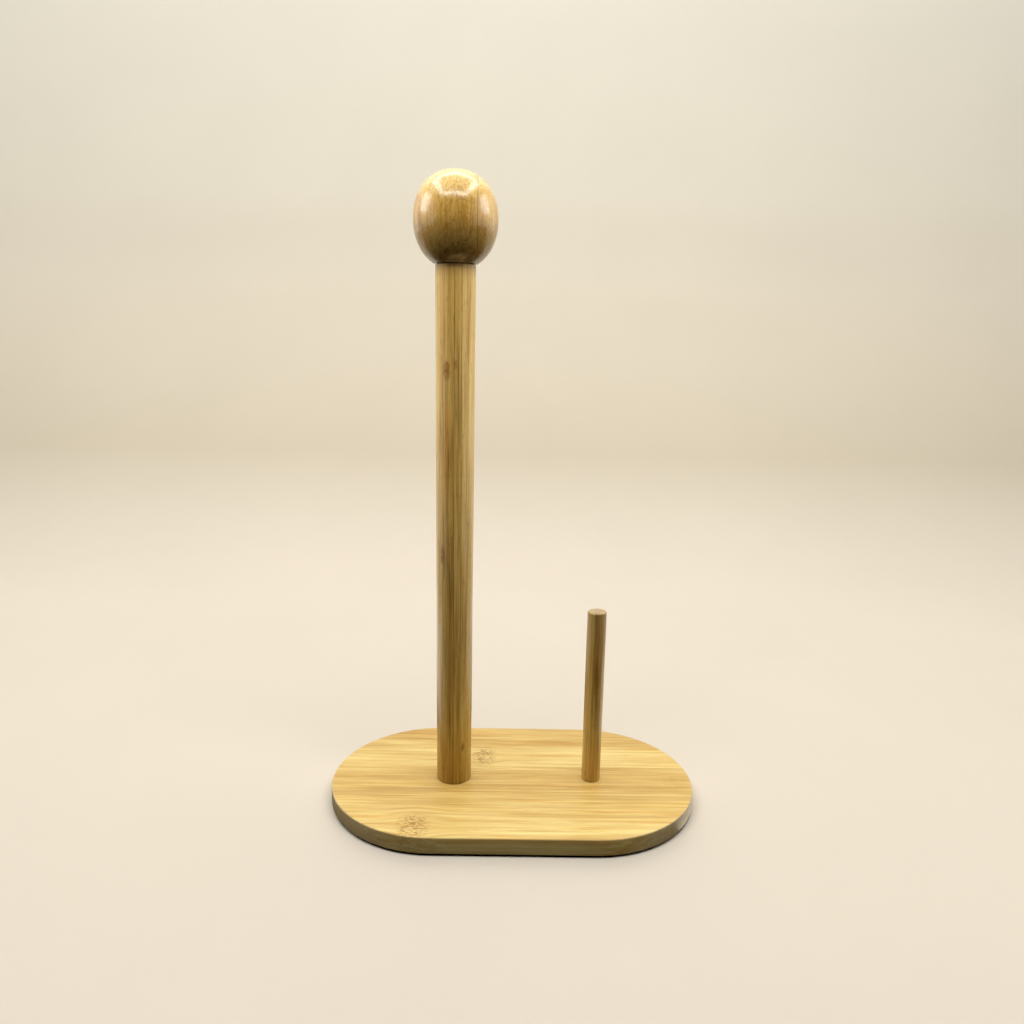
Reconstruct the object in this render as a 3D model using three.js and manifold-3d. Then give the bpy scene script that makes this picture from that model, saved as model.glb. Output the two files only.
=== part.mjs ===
// Countertop paper towel holder in laminated bamboo.
//
// A stadium-shaped board stands on four thin pads. A thick post for the roll and a thin tear arm
// stand on the board's top face, each held by one screw from below. A ball knob closes the top of
// the post: its hanger bolt screws into a threaded insert, so the knob comes off to load a roll.
//
// Millimetres, +Z up. The origin is the middle of the board's outline, at the height of the surface
// that the pads stand on. +X runs along the board from the post to the tear arm, +Y to the back.

import * as THREE from 'three';
import { mergeVertices } from 'three/addons/utils/BufferGeometryUtils.js';
import Module from 'manifold-3d';

const wasm = await Module();
wasm.setup();

// ---- Driving dimensions ----------------------------------------------------------------------

// Board
const BOARD_LENGTH = 214;
const BOARD_WIDTH = 125;
const BOARD_THICKNESS = 10;
const BOARD_EDGE_RADIUS = 1;

// Pads under the board
const PAD_RADIUS = 6;
const PAD_HEIGHT = 1.5;
const PAD_CHAMFER = 0.3;
const PAD_INSET = 12.5; // from the board's edge to a pad's centre

// Post, a dowel that narrows slightly to its foot, and tear arm, a thinner straight dowel
const POST_X = -35;
const POST_FOOT_RADIUS = 10.1;
const POST_TOP_RADIUS = 10.75;
const POST_HEIGHT = 295;
const ARM_X = 47;
const ARM_RADIUS = 5.5;
const ARM_HEIGHT = 105;
const DOWEL_EDGE_RADIUS = 0.8;

// Ball knob, a slightly tall spheroid cut flat where it sits on the post
const KNOB_RADIUS = 22.35;
const KNOB_HALF_HEIGHT = 25;
const KNOB_FULLNESS = 2.15; // 2 is an ellipse, and more makes its flanks fuller
const KNOB_SEAT_RADIUS = 11.5;
const KNOB_SEAT_GAP = 0.2; // hairline between the knob and the post when screwed home

// M6 fittings in the post: a threaded insert at each end
const M6_RADIUS = 3;
const M6_PITCH = 1;
const M6_THREAD_DEPTH = 0.45;
const INSERT_LENGTH = 13;
const INSERT_ROOT_RADIUS = 4.2;
const INSERT_CREST_RADIUS = 4.9;
const INSERT_PITCH = 2.6;
const INSERT_RECESS = 0.3; // how far an insert sits below the end of its dowel
const INSERT_BORE_DEPTH = 16;

// Hanger bolt: machine thread down into the post, wood thread up into the knob
const BOLT_MACHINE_LENGTH = 12;
const BOLT_WOOD_LENGTH = 22;
const BOLT_WOOD_PITCH = 2.5;
const BOLT_WOOD_ROOT_RADIUS = 2.1;
const BOLT_WAIST_LENGTH = 1;
const WOOD_POINT_LENGTH = 3; // taper at the end of a wood thread

// Screw and washer that hold the post
const POST_SCREW_HEAD_RADIUS = 6;
const POST_SCREW_HEAD_HEIGHT = 3;
const POST_SCREW_HEAD_EDGE = 0.8;
const POST_SCREW_LENGTH = 19;
const HEX_KEY_SIZE = 4; // across flats
const HEX_KEY_DEPTH = 2;
const WASHER_RADIUS = 8;
const WASHER_THICKNESS = 1;
const COUNTERBORE_DEPTH = 4.5;

// Countersunk wood screw that holds the tear arm
const ARM_SCREW_HEAD_RADIUS = 4;
const ARM_SCREW_HEAD_HEIGHT = 2.4;
const ARM_SCREW_LENGTH = 30;
const ARM_SCREW_RADIUS = 2;
const ARM_SCREW_ROOT_RADIUS = 1.4;
const ARM_SCREW_PITCH = 1.8;
const ARM_SCREW_SINK = 0.5; // how far the head lies below the board's underside
const CROSS_SLOT_WIDTH = 1.1;
const CROSS_SLOT_LENGTH = 4.6;
const CROSS_SLOT_DEPTH = 1.6;
const ARM_BORE_DEPTH = 26;

// Space left round a fitting in the hole that holds it
const CLEARANCE = 0.3;

// How round the round things are
const DOWEL_SIDES = 48;
const KNOB_SIDES = 40;
const KNOB_RINGS = 16;
const FITTING_SIDES = 12;
const EDGE_STEPS = 3;
const BOARD_END_STEPS = 16;

// ---- Heights worked out from them ------------------------------------------------------------

const BOARD_TOP = PAD_HEIGHT + BOARD_THICKNESS;
const COUNTERBORE_TOP = PAD_HEIGHT + COUNTERBORE_DEPTH;
const POST_TOP = BOARD_TOP + POST_HEIGHT;
const KNOB_SEAT_Z = POST_TOP + KNOB_SEAT_GAP;

// How far down the knob's outline its seat is: 0 at the widest place, 1 at the very bottom.
const KNOB_SEAT_SHARE = 1 - (KNOB_SEAT_RADIUS / KNOB_RADIUS) ** KNOB_FULLNESS;
const KNOB_CENTRE_HEIGHT = KNOB_HALF_HEIGHT * KNOB_SEAT_SHARE ** (1 / KNOB_FULLNESS);

// ---- Materials -------------------------------------------------------------------------------

function material(color, roughness, metalness = 0) {
  return new THREE.MeshStandardMaterial({ color, roughness, metalness });
}

const bambooBoard = material('#dfbb74', 0.32);
const bambooPost = material('#b98c46', 0.32);
const bambooArm = material('#b08440', 0.35);
const bambooKnob = material('#a97c3a', 0.18);
const steel = material('#b9bcc0', 0.35, 1);
const brass = material('#c79f4f', 0.35, 1);
const padFoam = material('#1c1b1a', 0.9);

// ---- Shared shapes ---------------------------------------------------------------------------

// A half outline [radius, height] turned about the Z axis. It starts and ends on the axis,
// or closes on itself, and runs with the material on its left.
function turned(outline, sides) {
  const points = outline.map(([radius, height]) => new THREE.Vector2(radius, height));
  return new THREE.LatheGeometry(points, sides).rotateX(Math.PI / 2);
}

// Points of a quarter round between a flat end and a wall, from angle to angle.
function cornerArc(centreRadius, centreHeight, radius, fromAngle, toAngle) {
  const points = [];
  for (let step = 0; step <= EDGE_STEPS; step += 1) {
    const angle = fromAngle + ((toAngle - fromAngle) * step) / EDGE_STEPS;
    points.push([centreRadius + radius * Math.cos(angle), centreHeight + radius * Math.sin(angle)]);
  }
  return points;
}

// A thread drawn as rings: V-shaped ridges one pitch apart, going up from one height.
function threadRings(rootRadius, crestRadius, pitch, fromHeight, length) {
  const points = [];
  const turns = Math.floor(length / pitch);
  for (let turn = 0; turn < turns; turn += 1) {
    points.push([rootRadius, fromHeight + turn * pitch]);
    points.push([crestRadius, fromHeight + (turn + 0.5) * pitch]);
  }
  points.push([rootRadius, fromHeight + turns * pitch]);
  return points;
}

// A closed geometry as a solid that can be cut.
function solidOf(geometry) {
  const bare = geometry.clone();
  bare.deleteAttribute('normal');
  bare.deleteAttribute('uv');
  const merged = mergeVertices(bare);
  const corners = merged.index.array;
  const kept = [];
  for (let i = 0; i < corners.length; i += 3) {
    const [a, b, c] = [corners[i], corners[i + 1], corners[i + 2]];
    if (a !== b && b !== c && c !== a) kept.push(a, b, c);
  }
  return new wasm.Manifold(new wasm.Mesh({
    numProp: 3,
    vertProperties: new Float32Array(merged.attributes.position.array),
    triVerts: Uint32Array.from(kept),
  }));
}

// What is left of one geometry after others are cut away from it.
function cut(geometry, tools) {
  let body = solidOf(geometry);
  for (const tool of tools) body = body.subtract(solidOf(tool));
  const mesh = body.getMesh();
  const result = new THREE.BufferGeometry();
  result.setAttribute('position', new THREE.BufferAttribute(mesh.vertProperties, 3));
  result.setIndex(new THREE.BufferAttribute(mesh.triVerts, 1));
  return result;
}

// An upright round cutter between two heights, on an axis at x.
function roundCutter(x, radius, fromHeight, toHeight) {
  const height = toHeight - fromHeight;
  return new THREE.CylinderGeometry(radius, radius, height, DOWEL_SIDES)
    .rotateX(Math.PI / 2)
    .translate(x, 0, fromHeight + height / 2);
}

function named(name, geometry, look, x = 0, y = 0, z = 0) {
  const mesh = new THREE.Mesh(geometry, look);
  mesh.name = name;
  mesh.position.set(x, y, z);
  return mesh;
}

// ---- Board and pads --------------------------------------------------------------------------

// Two straight sides and two half-round ends.
function stadium(length, width) {
  const endRadius = width / 2;
  const endCentre = length / 2 - endRadius;
  const shape = new THREE.Shape();
  shape.absarc(endCentre, 0, endRadius, -Math.PI / 2, Math.PI / 2, false);
  shape.absarc(-endCentre, 0, endRadius, Math.PI / 2, Math.PI * 1.5, false);
  return shape;
}

// The board lies from height 0 to its thickness. Above and below, CLEARANCE lets cutters pass out.
function boardGeometry() {
  const slab = new THREE.ExtrudeGeometry(stadium(BOARD_LENGTH, BOARD_WIDTH), {
    depth: BOARD_THICKNESS - 2 * BOARD_EDGE_RADIUS,
    bevelEnabled: true,
    bevelThickness: BOARD_EDGE_RADIUS,
    bevelSize: BOARD_EDGE_RADIUS,
    bevelOffset: -BOARD_EDGE_RADIUS,
    bevelSegments: EDGE_STEPS,
    curveSegments: BOARD_END_STEPS,
  }).translate(0, 0, BOARD_EDGE_RADIUS);

  const below = -CLEARANCE;
  const above = BOARD_THICKNESS + CLEARANCE;
  const countersinkTop = ARM_SCREW_SINK + ARM_SCREW_HEAD_HEIGHT + CLEARANCE;
  const countersink = turned([
    [0, below],
    [ARM_SCREW_HEAD_RADIUS + CLEARANCE, below],
    [ARM_SCREW_HEAD_RADIUS + CLEARANCE, ARM_SCREW_SINK],
    [ARM_SCREW_RADIUS + CLEARANCE, countersinkTop],
    [ARM_SCREW_RADIUS + CLEARANCE, above],
    [0, above],
  ], DOWEL_SIDES).translate(ARM_X, 0, 0);

  return cut(slab, [
    roundCutter(POST_X, M6_RADIUS + CLEARANCE, below, above),
    roundCutter(POST_X, WASHER_RADIUS + CLEARANCE, below, COUNTERBORE_DEPTH),
    countersink,
  ]);
}

function padGeometry() {
  return turned([
    [0, 0],
    [PAD_RADIUS - PAD_CHAMFER, 0],
    [PAD_RADIUS, PAD_CHAMFER],
    [PAD_RADIUS, PAD_HEIGHT],
    [0, PAD_HEIGHT],
  ], 2 * FITTING_SIDES);
}

// One pad on each diagonal of the two half-round ends.
function pads() {
  const endRadius = BOARD_WIDTH / 2;
  const diagonal = (endRadius - PAD_INSET) * Math.SQRT1_2;
  const reach = BOARD_LENGTH / 2 - endRadius + diagonal;
  const made = [];
  for (const [depthName, depthSide] of [['front', -1], ['back', 1]]) {
    for (const [sideName, side] of [['left', -1], ['right', 1]]) {
      const name = `foot_pad_${depthName}_${sideName}`;
      made.push(named(name, padGeometry(), padFoam, side * reach, depthSide * diagonal));
    }
  }
  return made;
}

// ---- Dowels ----------------------------------------------------------------------------------

// A dowel standing on height 0, with a blind bore up from its foot and one down from its top.
// A bore of depth 0 leaves that end plain.
function dowelGeometry(footRadius, topRadius, height, footBore, topBore) {
  const edge = DOWEL_EDGE_RADIUS;
  const outline = [[0, footBore.depth]];
  if (footBore.depth > 0) outline.push([footBore.radius, footBore.depth], [footBore.radius, 0]);
  outline.push(...cornerArc(footRadius - edge, edge, edge, -Math.PI / 2, 0));
  outline.push(...cornerArc(topRadius - edge, height - edge, edge, 0, Math.PI / 2));
  const topFloor = height - topBore.depth;
  if (topBore.depth > 0) outline.push([topBore.radius, height], [topBore.radius, topFloor]);
  outline.push([0, topFloor]);
  return turned(outline, DOWEL_SIDES);
}

const plainEnd = { radius: 0, depth: 0 };
const insertBore = { radius: INSERT_CREST_RADIUS + CLEARANCE, depth: INSERT_BORE_DEPTH };
const armBore = { radius: ARM_SCREW_RADIUS + CLEARANCE, depth: ARM_BORE_DEPTH };

// ---- Knob ------------------------------------------------------------------------------------

// The seat is at height 0, round the bore that holds the hanger bolt's wood thread.
function knobGeometry() {
  const boreRadius = M6_RADIUS + CLEARANCE;
  const boreDepth = BOLT_WOOD_LENGTH + CLEARANCE;
  const outline = [[0, boreDepth], [boreRadius, boreDepth], [boreRadius, 0]];
  const power = 2 / KNOB_FULLNESS;
  const seatAngle = -Math.asin(Math.sqrt(KNOB_SEAT_SHARE));
  for (let ring = 0; ring < KNOB_RINGS; ring += 1) {
    const angle = seatAngle + ((Math.PI / 2 - seatAngle) * ring) / KNOB_RINGS;
    const rise = Math.sign(angle) * Math.abs(Math.sin(angle)) ** power;
    const height = KNOB_CENTRE_HEIGHT + KNOB_HALF_HEIGHT * rise;
    outline.push([KNOB_RADIUS * Math.cos(angle) ** power, height]);
  }
  outline.push([0, KNOB_CENTRE_HEIGHT + KNOB_HALF_HEIGHT]);
  return turned(outline, KNOB_SIDES);
}

// ---- Fittings --------------------------------------------------------------------------------

// A threaded insert from height 0 to its length: coarse thread outside, clear hole inside.
function insertGeometry() {
  const holeRadius = M6_RADIUS + CLEARANCE;
  const thread = threadRings(INSERT_ROOT_RADIUS, INSERT_CREST_RADIUS, INSERT_PITCH, 0, INSERT_LENGTH);
  return turned([
    [holeRadius, 0],
    ...thread,
    [holeRadius, INSERT_LENGTH],
    [holeRadius, 0],
  ], FITTING_SIDES);
}

// The knob's seat is at height 0: machine thread below it, wood thread and point above it.
function hangerBoltGeometry() {
  const machineRoot = M6_RADIUS - M6_THREAD_DEPTH;
  const machineLength = BOLT_MACHINE_LENGTH;
  const woodRoot = BOLT_WOOD_ROOT_RADIUS;
  const woodLength = BOLT_WOOD_LENGTH - BOLT_WAIST_LENGTH - WOOD_POINT_LENGTH;
  return turned([
    [0, -machineLength],
    ...threadRings(machineRoot, M6_RADIUS, M6_PITCH, -machineLength, machineLength),
    ...threadRings(woodRoot, M6_RADIUS, BOLT_WOOD_PITCH, BOLT_WAIST_LENGTH, woodLength),
    [0, BOLT_WOOD_LENGTH],
  ], FITTING_SIDES);
}

// Flat head down, with a hexagon socket; the head's seat is at height 0 and the shank above it.
function postScrewGeometry() {
  const root = M6_RADIUS - M6_THREAD_DEPTH;
  const edge = POST_SCREW_HEAD_EDGE;
  const headBottom = -POST_SCREW_HEAD_HEIGHT;
  const screw = turned([
    [0, headBottom],
    ...cornerArc(POST_SCREW_HEAD_RADIUS - edge, headBottom + edge, edge, -Math.PI / 2, 0),
    [POST_SCREW_HEAD_RADIUS, 0],
    ...threadRings(root, M6_RADIUS, M6_PITCH, 0, POST_SCREW_LENGTH),
    [0, POST_SCREW_LENGTH],
  ], FITTING_SIDES);
  const socketRadius = HEX_KEY_SIZE / Math.sqrt(3);
  const socket = new THREE.CylinderGeometry(socketRadius, socketRadius, 2 * HEX_KEY_DEPTH, 6)
    .rotateX(Math.PI / 2)
    .translate(0, 0, headBottom);
  return cut(screw, [socket]);
}

function washerGeometry() {
  const holeRadius = M6_RADIUS + CLEARANCE;
  return turned([
    [holeRadius, 0],
    [WASHER_RADIUS, 0],
    [WASHER_RADIUS, WASHER_THICKNESS],
    [holeRadius, WASHER_THICKNESS],
    [holeRadius, 0],
  ], 2 * FITTING_SIDES);
}

// Countersunk head down, with a cross recess; its flat face is at height 0 and its point on top.
function armScrewGeometry() {
  const threadLength = ARM_SCREW_LENGTH - ARM_SCREW_HEAD_HEIGHT - WOOD_POINT_LENGTH;
  const screw = turned([
    [0, 0],
    [ARM_SCREW_HEAD_RADIUS, 0],
    ...threadRings(
      ARM_SCREW_ROOT_RADIUS,
      ARM_SCREW_RADIUS,
      ARM_SCREW_PITCH,
      ARM_SCREW_HEAD_HEIGHT,
      threadLength,
    ),
    [0, ARM_SCREW_LENGTH],
  ], FITTING_SIDES);
  const along = new THREE.BoxGeometry(CROSS_SLOT_LENGTH, CROSS_SLOT_WIDTH, 2 * CROSS_SLOT_DEPTH);
  const across = new THREE.BoxGeometry(CROSS_SLOT_WIDTH, CROSS_SLOT_LENGTH, 2 * CROSS_SLOT_DEPTH);
  return cut(screw, [along, across]);
}

// ---- Assembly --------------------------------------------------------------------------------

function baseAssembly() {
  const group = new THREE.Group();
  group.add(named('base_board', boardGeometry(), bambooBoard, 0, 0, PAD_HEIGHT));
  group.add(...pads());
  return group;
}

// The post's own axis, with what screws into its foot.
function postAssembly() {
  const group = new THREE.Group();
  group.position.set(POST_X, 0, 0);
  const post = dowelGeometry(POST_FOOT_RADIUS, POST_TOP_RADIUS, POST_HEIGHT, insertBore, insertBore);
  const footInsertZ = BOARD_TOP + INSERT_RECESS;
  const topInsertZ = POST_TOP - INSERT_RECESS - INSERT_LENGTH;
  const washerZ = COUNTERBORE_TOP - WASHER_THICKNESS;
  group.add(named('main_post', post, bambooPost, 0, 0, BOARD_TOP));
  group.add(named('post_foot_insert', insertGeometry(), brass, 0, 0, footInsertZ));
  group.add(named('post_top_insert', insertGeometry(), brass, 0, 0, topInsertZ));
  group.add(named('post_washer', washerGeometry(), steel, 0, 0, washerZ));
  group.add(named('post_screw', postScrewGeometry(), steel, 0, 0, washerZ));
  return group;
}

function armAssembly() {
  const group = new THREE.Group();
  group.position.set(ARM_X, 0, 0);
  const arm = dowelGeometry(ARM_RADIUS, ARM_RADIUS, ARM_HEIGHT, armBore, plainEnd);
  group.add(named('tear_arm', arm, bambooArm, 0, 0, BOARD_TOP));
  group.add(named('arm_screw', armScrewGeometry(), steel, 0, 0, PAD_HEIGHT + ARM_SCREW_SINK));
  return group;
}

function knobAssembly() {
  const group = new THREE.Group();
  group.position.set(POST_X, 0, KNOB_SEAT_Z);
  group.add(named('ball_knob', knobGeometry(), bambooKnob));
  group.add(named('knob_hanger_bolt', hangerBoltGeometry(), steel));
  return group;
}

const holder = new THREE.Group();
holder.add(baseAssembly(), postAssembly(), armAssembly(), knobAssembly());

export default holder;
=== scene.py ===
"""A countertop paper towel holder in laminated bamboo: its visible pieces, their materials,
and the light tent that it is photographed in. Lengths marked MM are millimetres; the scene is
in metres, +Z up, with the holder standing on the floor at height 0."""
import math
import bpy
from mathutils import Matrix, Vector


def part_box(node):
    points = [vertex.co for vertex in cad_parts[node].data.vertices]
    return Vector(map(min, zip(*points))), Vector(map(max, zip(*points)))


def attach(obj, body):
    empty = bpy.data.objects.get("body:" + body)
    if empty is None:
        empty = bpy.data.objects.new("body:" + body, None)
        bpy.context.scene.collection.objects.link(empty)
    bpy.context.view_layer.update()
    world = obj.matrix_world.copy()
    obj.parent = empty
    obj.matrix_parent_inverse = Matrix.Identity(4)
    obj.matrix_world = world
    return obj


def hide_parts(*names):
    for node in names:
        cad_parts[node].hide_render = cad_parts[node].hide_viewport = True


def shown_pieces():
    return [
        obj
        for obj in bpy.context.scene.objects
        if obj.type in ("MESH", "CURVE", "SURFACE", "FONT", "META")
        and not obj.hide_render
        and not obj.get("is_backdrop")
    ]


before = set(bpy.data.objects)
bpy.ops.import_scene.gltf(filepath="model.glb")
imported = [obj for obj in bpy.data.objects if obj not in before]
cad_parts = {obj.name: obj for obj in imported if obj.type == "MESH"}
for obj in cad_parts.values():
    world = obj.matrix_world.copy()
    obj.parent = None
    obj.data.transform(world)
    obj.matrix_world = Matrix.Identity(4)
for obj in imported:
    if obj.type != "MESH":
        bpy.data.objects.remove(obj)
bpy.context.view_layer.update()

from types import SimpleNamespace

import bmesh
import bpy
from mathutils import Matrix, Vector

MM = 0.001


# ---- Sizes read from the frame ------------------------------------------------------------------


def round_node(name):
    """Axis, radius, bottom and top of a turned CAD node, in metres."""
    low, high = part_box(name)
    return SimpleNamespace(
        x=(low.x + high.x) / 2,
        y=(low.y + high.y) / 2,
        radius=(high.x - low.x) / 2,
        bottom=low.z,
        top=high.z,
    )


BOARD_LOW, BOARD_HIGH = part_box("base_board")
BOARD_THICKNESS = BOARD_HIGH.z - BOARD_LOW.z
POST = round_node("main_post")
ARM = round_node("tear_arm")
KNOB = round_node("ball_knob")
BOLT = round_node("knob_hanger_bolt")
WASHER = round_node("post_washer")
POST_SCREW = round_node("post_screw")
ARM_SCREW = round_node("arm_screw")
TOP_INSERT = round_node("post_top_insert")
FOOT_INSERT = round_node("post_foot_insert")

BOARD_EDGE = 1.0 * MM
HEAD_DEPTH = 0.5 * MM  # how far the tear arm's screw head lies above the board's underside
COUNTERSINK_DEPTH = 3.2 * MM

POST_FOOT_RADIUS = 10.1 * MM
DOWEL_EDGE = 0.8 * MM
INSERT_BORE_DEPTH = 16 * MM
ARM_BORE_DEPTH = 26 * MM
ARM_BORE_RADIUS = 2.3 * MM

KNOB_EDGE = 0.3 * MM
KNOB_HALF_HEIGHT = 25 * MM
KNOB_FULLNESS = 2.15  # 2 is an ellipse, and more makes its flanks fuller

M6_RADIUS = 3 * MM
M6_PITCH = 1 * MM
M6_DEPTH = 0.5 * MM
M6_ROOT = M6_RADIUS - M6_DEPTH
HOLE_CLEARANCE = 0.3 * MM
M6_HOLE = M6_RADIUS + HOLE_CLEARANCE


# ---- Mesh building ------------------------------------------------------------------------------


def arc(centre_radius, centre_height, radius, start, end, steps):
    """Outline points of a round corner, from angle to angle in degrees."""
    points = []
    for step in range(steps + 1):
        angle = math.radians(start + (end - start) * step / steps)
        points.append((
            centre_radius + radius * math.cos(angle),
            centre_height + radius * math.sin(angle),
        ))
    return points


def ridge(turns):
    """Height of a V thread from its root, 0, to its crest, 1, after this many turns."""
    return 1 - abs(2 * (turns % 1) - 1)


def thread(root, crest, pitch, start, end):
    """Outline points of a helical thread; each carries the ridge's depth and pitch."""
    steps_per_turn = 8
    points = []
    count = round((end - start) / pitch * steps_per_turn)
    for step in range(count + 1):
        height = start + (end - start) * step / count
        run_in = min(1.0, (height - start) / pitch, (end - height) / pitch)
        points.append((root, height, (crest - root) * run_in, pitch))
    return points


def radius_at(point, side, sides):
    """Radius of an outline point on one side of the turned piece."""
    if len(point) == 2:
        return point[0]
    root, height, depth, pitch = point
    return root + depth * ridge(height / pitch - side / sides)


def turned(name, outline, sides, centre):
    """A piece turned about an upright axis. The outline is (radius, height) points, with the
    material on its left; it ends on the axis or closes on itself."""
    closed = outline[0] == outline[-1]
    rows = outline[:-1] if closed else outline
    bm = bmesh.new()
    rings = []
    for point in rows:
        if point[0] == 0:
            rings.append([bm.verts.new((centre.x, centre.y, centre.z + point[1]))] * sides)
            continue
        ring = []
        for side in range(sides):
            angle = 2 * math.pi * side / sides
            radius = radius_at(point, side, sides)
            ring.append(bm.verts.new((
                centre.x + radius * math.cos(angle),
                centre.y + radius * math.sin(angle),
                centre.z + point[1],
            )))
        rings.append(ring)
    pairs = list(zip(rings, rings[1:]))
    if closed:
        pairs.append((rings[-1], rings[0]))
    for lower, upper in pairs:
        for side in range(sides):
            following = (side + 1) % sides
            corners = [lower[side], lower[following], upper[following], upper[side]]
            bm.faces.new(list(dict.fromkeys(corners)))
    return piece(name, bm)


def piece(name, bm, sharp_degrees=35):
    """Makes an object of a finished bmesh, smooth but for edges sharper than the angle."""
    bmesh.ops.recalc_face_normals(bm, faces=bm.faces)
    limit = math.radians(sharp_degrees)
    for face in bm.faces:
        face.smooth = True
    for edge in bm.edges:
        edge.smooth = edge.is_manifold and edge.calc_face_angle() < limit
    mesh = bpy.data.meshes.new(name)
    bm.to_mesh(mesh)
    bm.free()
    made = bpy.data.objects.new(name, mesh)
    bpy.context.scene.collection.objects.link(made)
    return made


def finish_piece(made, material, slot, body, *nodes):
    """Gives a piece its material, and its place in the frame."""
    made.data.materials.append(material)
    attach(made, body)
    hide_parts(*nodes)


# ---- Board --------------------------------------------------------------------------------------


def stadium_loop(bm, inset, height):
    """A ring of vertices: the board's outline, moved in by inset, at one height."""
    end_steps = 48
    end_radius = (BOARD_HIGH.y - BOARD_LOW.y) / 2
    reach = (BOARD_HIGH.x - BOARD_LOW.x) / 2 - end_radius
    loop = []
    for side, first in ((1, -90), (-1, 90)):
        for step in range(end_steps + 1):
            angle = math.radians(first + 180 * step / end_steps)
            x = side * reach + (end_radius - inset) * math.cos(angle)
            y = (end_radius - inset) * math.sin(angle)
            loop.append(bm.verts.new((x, y, height)))
    return loop


def circle_loop(bm, centre, radius, height):
    """A ring of vertices: a circle about an upright axis, at one height."""
    sides = 64
    loop = []
    for side in range(sides):
        angle = 2 * math.pi * side / sides
        x = centre.x + radius * math.cos(angle)
        y = centre.y + radius * math.sin(angle)
        loop.append(bm.verts.new((x, y, height)))
    return loop


def bridge(bm, loops):
    """Walls between each ring of vertices and the next."""
    for lower, upper in zip(loops, loops[1:]):
        count = len(lower)
        for i in range(count):
            j = (i + 1) % count
            bm.faces.new((lower[i], lower[j], upper[j], upper[i]))


def flat_face(bm, *loops):
    """A flat face inside the first ring and outside the others."""
    edges = []
    for loop in loops:
        for i, vertex in enumerate(loop):
            following = loop[(i + 1) % len(loop)]
            edges.append(bm.edges.get((vertex, following)))
    bmesh.ops.triangle_fill(bm, use_beauty=True, edges=edges)


def make_board():
    """A stadium with eased edges, a counterbored hole for the post and a countersunk one for the
    tear arm."""
    bm = bmesh.new()
    wall = [(-outward, z) for outward, z in (
        arc(-BOARD_EDGE, BOARD_EDGE, BOARD_EDGE, -90, 0, 6)
        + arc(-BOARD_EDGE, BOARD_THICKNESS - BOARD_EDGE, BOARD_EDGE, 0, 90, 6)
    )]
    outer = [stadium_loop(bm, inset, BOARD_LOW.z + z) for inset, z in wall]
    bridge(bm, outer)

    underside, top = BOARD_LOW.z, BOARD_HIGH.z
    counterbore = WASHER.radius + HOLE_CLEARANCE
    post_hole = [
        circle_loop(bm, POST, counterbore, underside),
        circle_loop(bm, POST, counterbore, WASHER.top),
        circle_loop(bm, POST, M6_HOLE, WASHER.top),
        circle_loop(bm, POST, M6_HOLE, top),
    ]
    bridge(bm, post_hole)
    countersink = ARM_SCREW.radius + HOLE_CLEARANCE
    arm_hole = [
        circle_loop(bm, ARM, countersink, underside),
        circle_loop(bm, ARM, countersink, underside + HEAD_DEPTH),
        circle_loop(bm, ARM, ARM_BORE_RADIUS, underside + COUNTERSINK_DEPTH),
        circle_loop(bm, ARM, ARM_BORE_RADIUS, top),
    ]
    bridge(bm, arm_hole)
    flat_face(bm, outer[0], post_hole[0], arm_hole[0])
    flat_face(bm, outer[-1], post_hole[-1], arm_hole[-1])
    return piece("board", bm)


def make_pad(name, node):
    """A round pad whose lower rim is rounded."""
    pad = round_node(node)
    height = pad.top - pad.bottom
    soft_edge = 0.4 * MM
    outline = [(0, 0), *arc(pad.radius - soft_edge, soft_edge, soft_edge, -90, 0, 4)]
    outline += [(pad.radius, height), (0, height)]
    return turned(name, outline, 48, Vector((pad.x, pad.y, pad.bottom)))


# ---- Dowels and knob ----------------------------------------------------------------------------


def dowel_outline(part, foot_radius, foot_bore, top_bore):
    """A dowel with rounded ends. A bore is (radius, depth), or None for a plain end."""
    height = part.top - part.bottom
    edge = DOWEL_EDGE
    outline = [(0, foot_bore[1])]
    outline += [(foot_bore[0], foot_bore[1]), (foot_bore[0], 0)]
    outline += arc(foot_radius - edge, edge, edge, -90, 0, 6)
    outline += arc(part.radius - edge, height - edge, edge, 0, 90, 6)
    if top_bore:
        outline += [(top_bore[0], height), (top_bore[0], height - top_bore[1])]
        outline += [(0, height - top_bore[1])]
    else:
        outline += [(0, height)]
    return outline


def make_post():
    """A slightly tapered dowel, bored at both ends for its inserts."""
    bore = (TOP_INSERT.radius + HOLE_CLEARANCE, INSERT_BORE_DEPTH)
    centre = Vector((POST.x, POST.y, POST.bottom))
    return turned("post", dowel_outline(POST, POST_FOOT_RADIUS, bore, bore), 96, centre)


def make_arm():
    """A straight dowel, bored at its foot for its screw."""
    bore = (ARM_BORE_RADIUS, ARM_BORE_DEPTH)
    centre = Vector((ARM.x, ARM.y, ARM.bottom))
    return turned("side_arm", dowel_outline(ARM, ARM.radius, bore, None), 72, centre)


def make_knob():
    """A tall ball with full flanks, cut flat at its seat and bored for the hanger bolt."""
    height = KNOB.top - KNOB.bottom
    centre_height = height - KNOB_HALF_HEIGHT
    bore_depth = BOLT.top - KNOB.bottom + HOLE_CLEARANCE
    power = 2 / KNOB_FULLNESS
    start = -math.asin(((centre_height - KNOB_EDGE) / KNOB_HALF_HEIGHT) ** (1 / power))
    seat_radius = KNOB.radius * math.cos(start) ** power - KNOB_EDGE
    outline = [(0, bore_depth), (M6_HOLE, bore_depth), (M6_HOLE, 0), (seat_radius, 0)]
    rings = 72
    for ring in range(rings):
        angle = start + (math.pi / 2 - start) * ring / rings
        rise = math.copysign(abs(math.sin(angle)) ** power, angle)
        radius = KNOB.radius * math.cos(angle) ** power
        outline.append((radius, centre_height + KNOB_HALF_HEIGHT * rise))
    outline.append((0, height))
    return turned("knob", outline, 128, Vector((KNOB.x, KNOB.y, KNOB.bottom)))


# ---- Fittings -----------------------------------------------------------------------------------


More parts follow.
